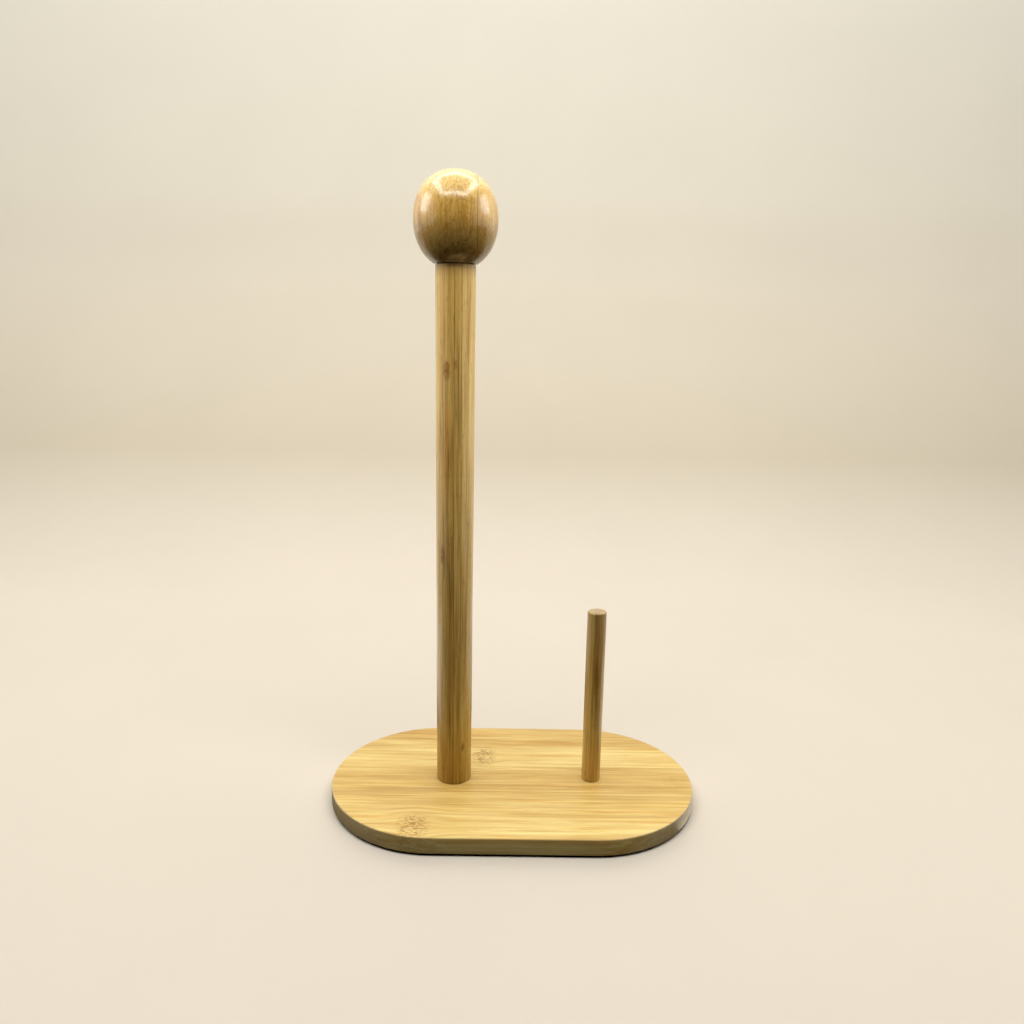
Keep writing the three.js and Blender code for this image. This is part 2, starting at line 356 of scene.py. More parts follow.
def make_insert(name, part):
    """A brass sleeve with a coarse thread outside and a plain bore for the M6 thread."""
    thread_depth = 0.7 * MM
    thread_pitch = 2.6 * MM
    height = part.top - part.bottom
    outline = thread(part.radius - thread_depth, part.radius, thread_pitch, 0, height)
    outline += [(M6_HOLE, height), (M6_HOLE, 0), outline[0]]
    return turned(name, outline, 48, Vector((part.x, part.y, part.bottom)))


def make_hanger_bolt():
    """An M6 thread below the knob's seat, and a wood thread with a point above it."""
    lead_in = 0.2 * MM
    wood_root = 2.1 * MM
    wood_pitch = 2.5 * MM
    point = 3 * MM
    seat = KNOB.bottom - BOLT.bottom
    height = BOLT.top - BOLT.bottom
    outline = [(0, 0), (M6_ROOT, 0)]
    outline += thread(M6_ROOT, M6_RADIUS, M6_PITCH, lead_in, seat)
    outline += thread(wood_root, M6_RADIUS, wood_pitch, seat + M6_PITCH, height - point)
    outline += [(0, height)]
    return turned("hanger_bolt", outline, 48, Vector((BOLT.x, BOLT.y, BOLT.bottom)))


def make_washer():
    """A flat ring with rounded outer edges."""
    height = WASHER.top - WASHER.bottom
    edge = 0.15 * MM
    outer = WASHER.radius - edge
    outline = [(M6_HOLE, 0), *arc(outer, edge, edge, -90, 0, 3)]
    outline += [*arc(outer, height - edge, edge, 0, 90, 3), (M6_HOLE, height), (M6_HOLE, 0)]
    return turned("flat_washer", outline, 64, Vector((WASHER.x, WASHER.y, WASHER.bottom)))


def cut_with(made, cutter):
    """Cuts one object out of another for good, and removes the cutter."""
    modifier = made.modifiers.new("cut", "BOOLEAN")
    modifier.operation = "DIFFERENCE"
    modifier.solver = "EXACT"
    modifier.object = cutter
    bpy.context.view_layer.update()
    evaluated = made.evaluated_get(bpy.context.evaluated_depsgraph_get())
    mesh = bpy.data.meshes.new_from_object(evaluated)
    made.modifiers.clear()
    made.data = mesh
    bpy.data.objects.remove(cutter)
    return made


def make_post_screw():
    """Flat head down, with a hexagon socket."""
    head = POST_SCREW.radius
    head_height = 3 * MM
    edge = 0.8 * MM
    end = POST_SCREW.top - POST_SCREW.bottom
    outline = [(0, 0), *arc(head - edge, edge, edge, -90, 0, 5), (head, head_height)]
    outline += thread(M6_ROOT, M6_RADIUS, M6_PITCH, head_height, end)
    outline += [(0, end)]
    centre = Vector((POST_SCREW.x, POST_SCREW.y, POST_SCREW.bottom))
    screw = turned("socket_screw", outline, 48, centre)
    across_flats = 4 * MM
    key_radius = across_flats / math.sqrt(3)
    depth = 2 * MM
    socket = [(0, -depth), (key_radius, -depth), (key_radius, depth), (0, depth)]
    return cut_with(screw, turned("hex_key", socket, 6, centre))


def make_arm_screw():
    """Countersunk head down, with a cross recess, and a wood thread with a point."""
    head_height = 2.4 * MM
    rim = 0.2 * MM
    root = 1.4 * MM
    crest = 2 * MM
    pitch = 1.8 * MM
    point = 3 * MM
    end = ARM_SCREW.top - ARM_SCREW.bottom
    outline = [(0, 0), (ARM_SCREW.radius - rim, 0), (ARM_SCREW.radius, rim)]
    outline += thread(root, crest, pitch, head_height, end - point)
    outline += [(0, end)]
    centre = Vector((ARM_SCREW.x, ARM_SCREW.y, ARM_SCREW.bottom))
    screw = turned("cross_screw", outline, 48, centre)
    slot_length = 4.6 * MM
    slot_width = 1.1 * MM
    slot_height = 3.2 * MM  # half of it lies in the head
    for turn in (0, 90):
        bm = bmesh.new()
        size = Matrix.Diagonal((slot_length, slot_width, slot_height, 1))
        place = Matrix.Translation(centre) @ Matrix.Rotation(math.radians(turn), 4, "Z")
        bmesh.ops.create_cube(bm, size=1, matrix=place @ size)
        screw = cut_with(screw, piece("cross_slot", bm))
    return screw


# ---- Material nodes -----------------------------------------------------------------------------


class Shader:
    """A material's node tree, with short calls for the nodes that the materials use."""

    def __init__(self, name):
        self.material = bpy.data.materials.new(name)
        self.material.use_nodes = True
        self.tree = self.material.node_tree
        self.surface = self.tree.nodes["Principled BSDF"]

    def node(self, kind, **settings):
        made = self.tree.nodes.new(kind)
        for key, value in settings.items():
            setattr(made, key, value)
        return made

    def put(self, socket, value):
        """Links a socket to a value, or sets it to a plain number."""
        if isinstance(value, bpy.types.NodeSocket):
            self.tree.links.new(value, socket)
        else:
            socket.default_value = value

    def math(self, operation, a, b=0.0, clamp=False):
        made = self.node("ShaderNodeMath", operation=operation, use_clamp=clamp)
        self.put(made.inputs[0], a)
        self.put(made.inputs[1], b)
        return made.outputs[0]

    def vector(self, operation, a, b=(0, 0, 0)):
        made = self.node("ShaderNodeVectorMath", operation=operation)
        self.put(made.inputs[0], a)
        self.put(made.inputs[1], b)
        value = operation in ("DISTANCE", "LENGTH", "DOT_PRODUCT")
        return made.outputs["Value" if value else "Vector"]

    def noise(self, vector, detail=2.0, roughness=0.5, distortion=0.0):
        """Noise from 0 to 1 with a scale of 1, so the vector sets its size."""
        made = self.node("ShaderNodeTexNoise")
        self.put(made.inputs["Vector"], vector)
        made.inputs["Scale"].default_value = 1.0
        made.inputs["Detail"].default_value = detail
        made.inputs["Roughness"].default_value = roughness
        made.inputs["Distortion"].default_value = distortion
        return made.outputs["Fac"]

    def cells(self, vector):
        """Distance to the nearest of the scattered points, one for each unit cube."""
        made = self.node("ShaderNodeTexVoronoi")
        self.put(made.inputs["Vector"], vector)
        made.inputs["Scale"].default_value = 1.0
        return made.outputs["Distance"]

    def spread(self, value, low, high, to_low=0.0, to_high=1.0, smooth=False):
        """Maps a value's range to another, and stops at its ends."""
        made = self.node("ShaderNodeMapRange")
        made.interpolation_type = "SMOOTHSTEP" if smooth else "LINEAR"
        self.put(made.inputs["Value"], value)
        for socket, number in zip(("From Min", "From Max", "To Min", "To Max"),
                                  (low, high, to_low, to_high)):
            made.inputs[socket].default_value = number
        return made.outputs["Result"]

    def ramp(self, value, stops, constant=False):
        """A colour or grey for each position, from (position, colour) stops."""
        made = self.node("ShaderNodeValToRGB")
        self.put(made.inputs["Fac"], value)
        ramp = made.color_ramp
        ramp.interpolation = "CONSTANT" if constant else "LINEAR"
        while len(ramp.elements) < len(stops):
            ramp.elements.new(1.0)
        for element, (position, _) in zip(ramp.elements, stops):
            element.position = position
        for element, (_, colour) in zip(ramp.elements, stops):
            element.color = (*colour, 1.0)
        return made.outputs["Color"]

    def mix(self, factor, a, b, blend="MIX"):
        made = self.node("ShaderNodeMix", data_type="RGBA", blend_type=blend)
        self.put(made.inputs["Factor"], factor)
        for socket, colour in (("A", a), ("B", b)):
            target = next(s for s in made.inputs if s.name == socket and s.type == "RGBA")
            self.put(target, (*colour, 1.0) if isinstance(colour, tuple) else colour)
        return next(s for s in made.outputs if s.type == "RGBA")

    def separate(self, vector):
        made = self.node("ShaderNodeSeparateXYZ")
        self.put(made.inputs[0], vector)
        return made.outputs

    def join(self, x, y, z):
        made = self.node("ShaderNodeCombineXYZ")
        for socket, value in zip(made.inputs, (x, y, z)):
            self.put(socket, value)
        return made.outputs[0]

    def bump(self, height, strength, distance):
        """Raises the surface and its coat by a height from 0 to 1."""
        made = self.node("ShaderNodeBump")
        self.put(made.inputs["Height"], height)
        made.inputs["Strength"].default_value = strength
        made.inputs["Distance"].default_value = distance
        self.put(self.surface.inputs["Normal"], made.outputs["Normal"])
        self.put(self.surface.inputs["Coat Normal"], made.outputs["Normal"])

    def set(self, **sockets):
        """Fills the surface's sockets, named in small letters with underscores."""
        for name, value in sockets.items():
            label = name.replace("_", " ").title().replace("Ior", "IOR")
            self.put(self.surface.inputs[label], value)


def grey(value):
    """A colour of equal red, green and blue."""
    return (value, value, value)


# ---- Bamboo -------------------------------------------------------------------------------------


def grain_space(shader, along_x, origin):
    """Position in millimetres as (across the strips, through them, along the grain)."""
    place = shader.node("ShaderNodeTexCoord").outputs["Object"]
    moved = shader.vector("SUBTRACT", place, tuple(origin))
    scaled = shader.vector("MULTIPLY", moved, (1 / MM, 1 / MM, 1 / MM))
    x, y, z = shader.separate(scaled)
    return shader.join(*((y, z, x) if along_x else (x, y, z)))


def stretched(shader, vector, across, through, along, offset):
    """The grain space scaled so that one unit of noise is this many millimetres each way, and
    moved by the offset so that no two noises are alike."""
    scaled = shader.vector("MULTIPLY", vector, (1 / across, 1 / through, 1 / along))
    return shader.vector("ADD", scaled, (offset, offset * 0.37, offset * 0.71))


def ramp_place(edge, half_width):
    """A place across the strips as a share of the whole width."""
    return (edge + half_width) / (2 * half_width)


def strip_tones(shader, across, half_width, strips):
    """A grey for each strip. Strips are (where it starts, tone, strength of its glue line)."""
    position = shader.spread(across, -half_width, half_width)
    tones = []
    for start, tone, _ in strips:
        tones.append((max(0.0, ramp_place(start, half_width)), grey(tone)))
    return shader.ramp(position, tones, constant=True)


def glue_lines(shader, across, half_width, half_line, strips):
    """A thin line at the start of each strip but the first."""
    position = shader.spread(across, -half_width, half_width)
    lines = []
    for start, _, glue in strips[1:]:
        for edge, strength in ((start - half_line, 0), (start, glue), (start + half_line, 0)):
            lines.append((ramp_place(edge, half_width), grey(strength)))
    return shader.ramp(position, lines)


def patches(shader, space, spots):
    """A mask of soft oval patches: (across, along, half width, half length, strength)."""
    mask = 0.0
    for across, along, half_across, half_along, strength in spots:
        offset = shader.vector("SUBTRACT", space, (across, 0.0, along))
        offset = shader.vector("MULTIPLY", offset, (1 / half_across, 0.0, 1 / half_along))
        x, _, z = shader.separate(offset)
        cubes = [shader.math("POWER", shader.math("ABSOLUTE", part), 3.0) for part in (x, z)]
        distance = shader.math("POWER", shader.math("ADD", *cubes), 1 / 3)
        spot = shader.spread(distance, 0.3, 1.2, strength, 0.0, smooth=True)
        mask = shader.math("MAXIMUM", mask, spot)
    return mask


def swollen(shader, space, spots):
    """The grain swells at each knuckle, so that its lines run past on both sides."""
    for across, along, half_across, half_along, strength in spots:
        offset = shader.vector("SUBTRACT", space, (across, 0.0, along))
        reach = shader.vector("MULTIPLY", offset, (0.5 / half_across, 0.0, 0.35 / half_along))
        length = shader.vector("LENGTH", reach)
        pull = shader.spread(length, 0.0, 1.0, 0.6 * strength, 0.0, smooth=True)
        shift = shader.vector("MULTIPLY", offset, shader.join(pull, 0.0, 0.0))
        space = shader.vector("SUBTRACT", space, shift)
    return space


def knuckle_mask(shader, space, along_x, knuckles):
    """Where the knuckles are. On a dowel they show on its front side only."""
    near = patches(shader, space, knuckles)
    if along_x:
        return near
    through = shader.separate(space)[1]
    front = shader.spread(through, -2, 2, 1.0, 0.0, smooth=True)
    return shader.math("MULTIPLY", near, front)


def own_grain(shader, space, strip_tone, near, knuckles, seed, look):
    """Every strip has its own grain, and the grain swerves round each knuckle."""
    swerve = shader.noise(stretched(shader, space, 5, 5, 9, seed + 3), 1.5)
    swerve = shader.math("MULTIPLY", shader.math("SUBTRACT", swerve, 0.5), near)
    swerve = shader.math("MULTIPLY", swerve, look.swerve)
    apart = shader.math("MULTIPLY", strip_tone, 50.0)
    grain = swollen(shader, space, knuckles)
    return shader.vector("ADD", grain, shader.join(swerve, apart, 0.0))


def grain_colour(shader, grain, strip_tone, fibres, stains, seed, look):
    """The strips' tones with broad bands, streaks and fibres in them, and amber stains."""
    broad = shader.noise(stretched(shader, grain, 8, 8, 60, seed), 2)
    streaks = shader.noise(stretched(shader, grain, *look.streak, seed + 5), 3, 0.65)
    parts = (
        (broad, look.broad_part),
        (streaks, look.streak_part),
        (fibres, look.fibre_part),
    )
    tone = shader.math("MULTIPLY", strip_tone, look.strip_part)
    for part, weight in parts:
        centred = shader.math("SUBTRACT", part, 0.5)
        tone = shader.math("ADD", tone, shader.math("MULTIPLY", centred, weight))
    tone = shader.math("ADD", tone, look.base_tone, clamp=True)
    colour = shader.ramp(tone, [(0.0, look.dark), (0.5, look.middle), (1.0, look.light)])

    amber = shader.noise(stretched(shader, grain, look.streak[0] * 1.7, 6, 70, seed + 29), 2)
    amber = shader.spread(amber, 0.5, 0.72, 0.0, look.amber_part, smooth=True)
    amber = shader.math("MAXIMUM", amber, patches(shader, grain, stains))
    return shader.mix(amber, colour, look.amber, "MULTIPLY")


def vessel_mask(shader, grain, seed, look):
    """Dark vessels, in groups: dots in the end grain that run on as dashes along it."""
    vessels = shader.cells(stretched(shader, grain, *look.vessel, seed + 13))
    vessels = shader.spread(vessels, 0.10, 0.36, 1.0, 0.0, smooth=True)
    groups = shader.noise(stretched(shader, grain, 3, 3, 20, seed + 17), 2)
    groups = shader.spread(groups, *look.vessel_cover)
    vessels = shader.math("MULTIPLY", vessels, groups)
    return shader.math("MULTIPLY", vessels, look.vessel_part)


def with_knuckles(shader, space, near, colour, seed, look):
    """A faint dark ground with short dark marks on it at each knuckle."""
    marks = shader.noise(stretched(shader, space, *look.mark, seed + 21), 2, 0.6, 0.6)
    marks = shader.spread(marks, 0.49, 0.56, smooth=True)
    marks = shader.math("MULTIPLY", marks, near, clamp=True)
    colour = shader.mix(shader.math("MULTIPLY", near, look.knuckle_part), colour, look.knuckle)
    return shader.mix(shader.math("MULTIPLY", marks, 0.9), colour, look.knuckle)


def worn_glue(shader, space, half_width, strips, seed, look):
    """The strips' glue lines, fainter in places."""
    across = shader.separate(space)[0]
    glue = glue_lines(shader, across, half_width, look.glue_width / 2, strips)
    worn = shader.noise(stretched(shader, space, 8, 8, 24, seed + 33), 2)
    return shader.math("MULTIPLY", glue, shader.spread(worn, 0.3, 0.6, 0.45, 1.0))


def painted_light_and_darkening_along(shader, space, colour, shade):
    """Multiplies the colour by (millimetres, colour) stops along the piece: painted light and shade
    on the post and the knob, and on the arm a darkening that grows towards its top.
    """
    low, high = shade[0][0], shade[-1][0]
    share = shader.spread(shader.separate(space)[2], low, high)
    stops = [((place - low) / (high - low), tint) for place, tint in shade]
    return shader.mix(1.0, colour, shader.ramp(share, stops), "MULTIPLY")


def with_end_grain(shader, space, along_x, colour, seed, look):
    """Where the grain ends in the surface it is mottled, and it takes the end colour."""
    normal = shader.node("ShaderNodeTexCoord").outputs["Normal"]
    grain_axis = (1, 0, 0) if along_x else (0, 0, 1)
    facing = shader.math("ABSOLUTE", shader.vector("DOT_PRODUCT", normal, grain_axis))
    end_grain = shader.spread(facing, *look.end_range, smooth=True)
    mottle = shader.noise(stretched(shader, space, 0.9, 0.9, 0.9, seed + 37), 3, 0.7)
    mottle = shader.spread(mottle, 0.35, 0.65, 0.0, look.end_part)
    return shader.mix(shader.math("MULTIPLY", end_grain, mottle), colour, look.end_colour)


def with_painted_side_shade(shader, colour, edge_shade):
    """Painted shade: the upright sides are darkened, as they face away from the light from above.
    """
    normal = shader.node("ShaderNodeTexCoord").outputs["Normal"]
    upright = shader.math("ABSOLUTE", shader.vector("DOT_PRODUCT", normal, (0, 0, 1)))
    edge = shader.spread(upright, 0.35, 0.8, 1.0, 0.0, smooth=True)
    return shader.mix(edge, colour, edge_shade, "MULTIPLY")


def lacquer(shader, space, fibres, vessels, glue, seed, look):
    """Clear lacquer with faint smudges, over fibres, vessels and glue lines that can be felt."""
    smudges = shader.noise(stretched(shader, space, 11, 11, 17, seed + 25), 3)
    relief = shader.math("MULTIPLY", fibres, 0.8)
    relief = shader.math("SUBTRACT", relief, shader.math("MULTIPLY", vessels, 0.6))
    relief = shader.math("SUBTRACT", relief, glue)
    shader.bump(relief, look.bump, 0.05 * MM)
    shader.set(
        roughness=shader.spread(smudges, 0.3, 0.7, look.roughness - 0.05, look.roughness + 0.06),
        ior=1.45,
        specular_ior_level=look.specular,
        coat_weight=look.coat,
        coat_roughness=look.coat_roughness,
        coat_ior=look.coat_ior,
    )


def bamboo(name, seed, along_x, origin, half_width, strips, knuckles, stains, look):
    """Laminated bamboo: strips side by side along the grain. Knuckles are patches of short dark
    marks that the grain swerves round, and stains are amber patches. The look holds the colours,
    how strong each mark is, and how the lacquer shines."""
    shader = Shader(name)
    space = grain_space(shader, along_x, origin)
    strip_tone = strip_tones(shader, shader.separate(space)[0], half_width, strips)
    near = knuckle_mask(shader, space, along_x, knuckles)
    grain = own_grain(shader, space, strip_tone, near, knuckles, seed, look)
    fibres = shader.noise(stretched(shader, grain, *look.fibre, seed + 9), 3, 0.65)
    vessels = vessel_mask(shader, grain, seed, look)
    glue = worn_glue(shader, space, half_width, strips, seed, look)

    colour = grain_colour(shader, grain, strip_tone, fibres, stains, seed, look)
    colour = shader.mix(vessels, colour, look.fleck)
    colour = with_knuckles(shader, space, near, colour, seed, look)
    colour = shader.mix(glue, colour, look.fleck)
    # Painted light and shade along the post and the knob; on the arm, a darkening along it.
    if look.shade:
        colour = painted_light_and_darkening_along(shader, space, colour, look.shade)
    colour = with_end_grain(shader, space, along_x, colour, seed, look)
    # Painted shade on the board's upright sides, where little light falls.
    if look.edge_shade:
        colour = with_painted_side_shade(shader, colour, look.edge_shade)
    shader.set(base_color=colour)
    lacquer(shader, space, fibres, vessels, glue, seed, look)
    return shader.material


# In a look, each part is how strongly a mark shows, and streak, fibre, vessel and mark are the
# sizes of one such mark in millimetres: across the strips, through them and along the grain.
# Shade stops are in millimetres along the piece: above the floor, or for the knob above its seat.
# On the post and the knob the shade stops are painted light and shade.

BOARD_LOOK = SimpleNamespace(
    dark=(0.48, 0.275, 0.062),
    middle=(0.66, 0.445, 0.135),
    light=(0.84, 0.67, 0.27),
    amber=(1.0, 0.86, 0.60),
    fleck=(0.36, 0.19, 0.05),
    knuckle=(0.36, 0.18, 0.04),
    knuckle_part=0.12,
    end_colour=(0.62, 0.52, 0.34),
    # Painted shade for the board's upright sides.
    edge_shade=(0.66, 0.65, 0.66),
    base_tone=0.20,
    strip_part=0.60,
    broad_part=0.8,
    streak_part=1.5,
    fibre_part=0.6,
    amber_part=0.6,
    streak=(2.2, 2.2, 75),
    fibre=(0.7, 0.7, 26),
    vessel=(1.1, 1.1, 9),
    vessel_part=0.22,
    vessel_cover=(0.38, 0.6),
    mark=(1.3, 1.3, 2.6),
    glue_width=0.7,
    swerve=7.0,
    end_range=(0.25, 0.6),
    end_part=0.8,
    roughness=0.45,
    specular=0.5,
    coat=0.2,
    coat_roughness=0.25,
    coat_ior=1.5,
    bump=0.3,
    shade=(),
)

DOWEL_LOOK = SimpleNamespace(**{
    **vars(BOARD_LOOK),
    "dark": (0.34, 0.195, 0.040),
    "middle": (0.74, 0.475, 0.125),
    "light": (0.92, 0.70, 0.27),
    "amber": (0.95, 0.74, 0.42),
    "fleck": (0.15, 0.085, 0.02),
    "knuckle": (0.34, 0.13, 0.010),
    "knuckle_part": 0.65,
    "edge_shade": (),
    "end_colour": (0.62, 0.50, 0.33),
    "end_range": (0.75, 0.95),
    "base_tone": 0.18,
    "strip_part": 0.50,
    "streak_part": 1.5,
    "fibre_part": 0.75,
    "streak": (1.4, 1.4, 60),
    "fibre": (0.45, 0.45, 24),
    "vessel": (0.8, 0.8, 7),
    "vessel_part": 0.45,
    "mark": (1.2, 1.2, 1.9),
    "glue_width": 0.8,
    "swerve": 2.5,
    "roughness": 0.38,
    "coat": 0.3,
    "coat_roughness": 0.18,
})

POST_LOOK = SimpleNamespace(**{
    **vars(DOWEL_LOOK),
    # Painted shade: darker towards the foot, where less light reaches, and a painted shadow of the
    # knob on the post's top few millimetres.
    "shade": (
        (11, (0.47, 0.41, 0.16)),
        (38, (0.59, 0.53, 0.27)),
        (60, (0.66, 0.64, 0.52)),
        (100, (0.64, 0.62, 0.56)),
        (180, (0.84, 0.83, 0.78)),
        (260, (1.0, 0.98, 0.94)),
        (299, (1.0, 0.98, 0.92)),
        (303, (0.85, 0.80, 0.72)),
        (306.5, (0.55, 0.48, 0.40)),
    ),
})

ARM_LOOK = SimpleNamespace(**{
    **vars(DOWEL_LOOK),
    "shade": (
        (11, (0.66, 0.62, 0.45)),
        (50, (0.66, 0.65, 0.58)),
        (80, (0.60, 0.59, 0.54)),
        (116, (0.54, 0.53, 0.49)),
    ),
})

KNOB_LOOK = SimpleNamespace(**{
    **vars(DOWEL_LOOK),
    "dark": (0.52, 0.29, 0.065),
    # The middle and light colours are paler and bluer for the painted sheen on the top; the shade
    # stops below take the blue back out.
    "middle": (0.90, 0.65, 0.25),
    "light": (0.98, 0.83, 0.48),
    "fleck": (0.40, 0.21, 0.035),
    # Painted shade on the lower half, and painted light on the top: the top is lighter and whiter,
    # a painted sheen of the bright tent above.
    "shade": (
        (0, (0.42, 0.36, 0.24)),
        (11, (0.46, 0.39, 0.25)),
        (17, (0.56, 0.45, 0.25)),
        (22, (0.76, 0.61, 0.32)),
        (29, (0.79, 0.65, 0.33)),
        (35, (0.93, 0.86, 0.66)),
        (41, (0.98, 0.99, 0.95)),
        (47, (0.94, 1.0, 1.0)),
    ),
    "base_tone": 0.22,
    "streak_part": 1.5,
    "fibre_part": 1.3,
    "streak": (1.4, 1.4, 45),
    "fibre": (0.6, 0.6, 8),
    "vessel": (0.62, 0.62, 3.2),
    "vessel_part": 0.9,
    "vessel_cover": (0.0, 0.25),
    "end_range": (1.5, 2.0),
    "glue_width": 0.9,
    "roughness": 0.36,
    "specular": 0.2,
    "coat": 1.0,
    "coat_roughness": 0.18,
    "coat_ior": 1.62,
})


# Strips are as in strip_tones, and knuckles and stains as in patches. Places and sizes are in
# millimetres.


def board_material():
    strips = (
        (-62.5, 0.80, 0.0),
        (-40.8, 0.55, 0.30),
        (-30.3, 0.60, 0.45),
        (-23.0, 0.38, 0.25),
        (-16.6, 0.40, 0.40),
        (-5.7, 0.45, 0.25),
        (12.0, 0.85, 0.20),
        (34.2, 0.36, 0.35),
    )
    knuckles = (
        (-51.7, -54.0, 12, 9, 1.0),
        (24.5, -18.0, 12, 8, 0.9),
        (-4.5, 97.0, 9, 8, 0.25),
    )
    return bamboo(
        "bamboo_board", seed=22, along_x=True, origin=(0, 0, 0), half_width=62.5,
        strips=strips, knuckles=knuckles, stains=(), look=BOARD_LOOK,
    )


def post_material():
    strips = (
        (-10.5, 0.75, 0.0),
        (-6.0, 0.55, 0.2),
        (-3.5, 0.35, 0.4),
        (0.1, 0.45, 0.85),
        (4.0, 0.70, 0.4),
        (7.0, 0.90, 0.15),
    )
    knuckles = (
        (-4.0, 252, 2.3, 5.5, 1.0),
        (0.7, 255, 1.1, 3, 0.8),
        (-6.1, 151, 1.5, 6, 0.9),
        (5.5, 35, 1.2, 3, 0.9),
    )
    stains = (
        (-4.0, 207, 2.2, 34, 0.9),
        (-1.5, 100, 1.5, 60, 0.5),
    )
    return bamboo(
        "bamboo_post", seed=35, along_x=False, origin=(POST.x, POST.y, 0), half_width=10.8,
        strips=strips, knuckles=knuckles, stains=stains, look=POST_LOOK,
    )


def arm_material():
    strips = (
        (-5.6, 0.65, 0.0),
        (-1.6, 0.25, 0.45),
        (1.2, 0.45, 0.5),
        (3.2, 0.7, 0.2),
    )
    knuckles = ((0.6, 78, 2.0, 12, 0.7),)
    stains = ((0.5, 22, 3.5, 22, 0.6),)
    return bamboo(
        "bamboo_arm", seed=57, along_x=False, origin=(ARM.x, ARM.y, 0), half_width=5.6,
        strips=strips, knuckles=knuckles, stains=stains, look=ARM_LOOK,
    )


def knob_material():
    strips = (
        (-22.4, 0.55, 0.0),
        (-12.5, 0.50, 0.15),
        (-1.0, 0.45, 0.1),
        (11.9, 0.55, 1.0),
    )
    origin = (KNOB.x, KNOB.y, KNOB.bottom)
    return bamboo(
        "bamboo_knob", seed=77, along_x=False, origin=origin, half_width=22.4,
        strips=strips, knuckles=(), stains=(), look=KNOB_LOOK,
    )


# ---- Metal and pad ------------------------------------------------------------------------------


def millimetres(shader):
    """Place on the object, in millimetres."""
    place = shader.node("ShaderNodeTexCoord").outputs["Object"]
    return shader.vector("MULTIPLY", place, (1 / MM, 1 / MM, 1 / MM))


def metal(name, light, dark, roughness):
    """Plated or turned metal: faint blotches in the colour and the polish, and fine scratches."""
    shader = Shader(name)
    in_mm = millimetres(shader)
    blotches = shader.noise(shader.vector("MULTIPLY", in_mm, (0.4, 0.4, 0.4)), 4, 0.6)
    scratches = shader.noise(shader.vector("MULTIPLY", in_mm, (1.2, 1.2, 14.0)), 2)
    shader.bump(scratches, 0.25, 0.02 * MM)
    shader.set(
        base_color=shader.ramp(blotches, [(0.35, dark), (0.65, light)]),
        metallic=1.0,
        roughness=shader.spread(blotches, 0.3, 0.7, roughness - 0.08, roughness + 0.1),
    )
    return shader.material


def pad_material():
    """Black foam rubber: a pitted, dusty surface."""
    black = (0.012, 0.012, 0.012)
    dusty = (0.05, 0.048, 0.045)
    shader = Shader("pad_rubber")
    in_mm = millimetres(shader)
    pits = shader.cells(shader.vector("MULTIPLY", in_mm, (3, 3, 3)))
    dust = shader.noise(in_mm, 4, 0.7)
    shader.bump(pits, 0.5, 0.08 * MM)
    shader.set(
        base_color=shader.ramp(dust, [(0.35, black), (0.8, dusty)]),
        roughness=shader.spread(dust, 0.3, 0.7, 0.8, 0.95),
    )
    return shader.material


# ---- Stage --------------------------------------------------------------------------------------


def stage_material():
    """A cream sheet whose tone changes with height, deeper in a low band on the bend as painted
    shade of the fold, with faint clouds in it.
    """
    shader = Shader("cream_sheet")
    place = shader.node("ShaderNodeTexCoord").outputs["Object"]
    # Painted shade: the band at 0.1 m, low on the bend, is deeper than the floor and the wall above
    # it.
    tones = (
        (0.0, (0.735, 0.675, 0.59)),
        (0.1, (0.645, 0.585, 0.47)),
        (0.22, (0.75, 0.685, 0.565)),
        (0.35, (0.84, 0.78, 0.66)),
        (0.5, (0.86, 0.82, 0.71)),
        (0.75, (0.79, 0.76, 0.665)),
    )
    colour = shader.ramp(shader.separate(place)[2], tones)
    clouds = shader.noise(shader.vector("MULTIPLY", place, (5, 5, 5)), 5, 0.6)
    shade = shader.ramp(clouds, [(0.3, grey(0.97)), (0.7, grey(1.0))])
    colour = shader.mix(1.0, colour, shade, "MULTIPLY")
    shader.set(base_color=colour, roughness=0.9, specular_ior_level=0.1)
    return shader.material


def make_sheet(name, outline, material):
    """A sheet as wide as the stage, along an outline of (y, z) points."""
    half_width = 3.0
    bm = bmesh.new()
    rows = []
    for y, z in outline:
        rows.append([bm.verts.new((x, y, z)) for x in (-half_width, half_width)])
    for lower, upper in zip(rows, rows[1:]):
        bm.faces.new((lower[0], lower[1], upper[1], upper[0]))
    made = piece(name, bm, 180)
    made.data.materials.append(material)
    made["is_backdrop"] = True
    return made


def make_stage():
    """A floor, and behind it a backdrop that curves up into a wall. The floor throws no light on
    the holder, so that its sides stay as dark as in a tent lit from above."""
    front = -2.0
    split = 0.30  # where the backdrop takes over from the floor
    bend_start = split + 0.2
    bend_radius = 0.45
    bend_steps = 24
    wall_height = 2.2
    cream = stage_material()
    floor = make_sheet("floor", [(front, 0), (split, 0)], cream)
    floor.visible_diffuse = False
    floor.visible_glossy = False
    bend = []
    for step in range(bend_steps + 1):
        angle = math.pi / 2 * step / bend_steps
        y = bend_start + bend_radius * math.sin(angle)
        bend.append((y, bend_radius * (1 - math.cos(angle))))
    back = bend[-1][0]
    backdrop = make_sheet("backdrop", [(split, 0), *bend, (back, wall_height)], cream)
    return floor, backdrop


# ---- Light --------------------------------------------------------------------------------------

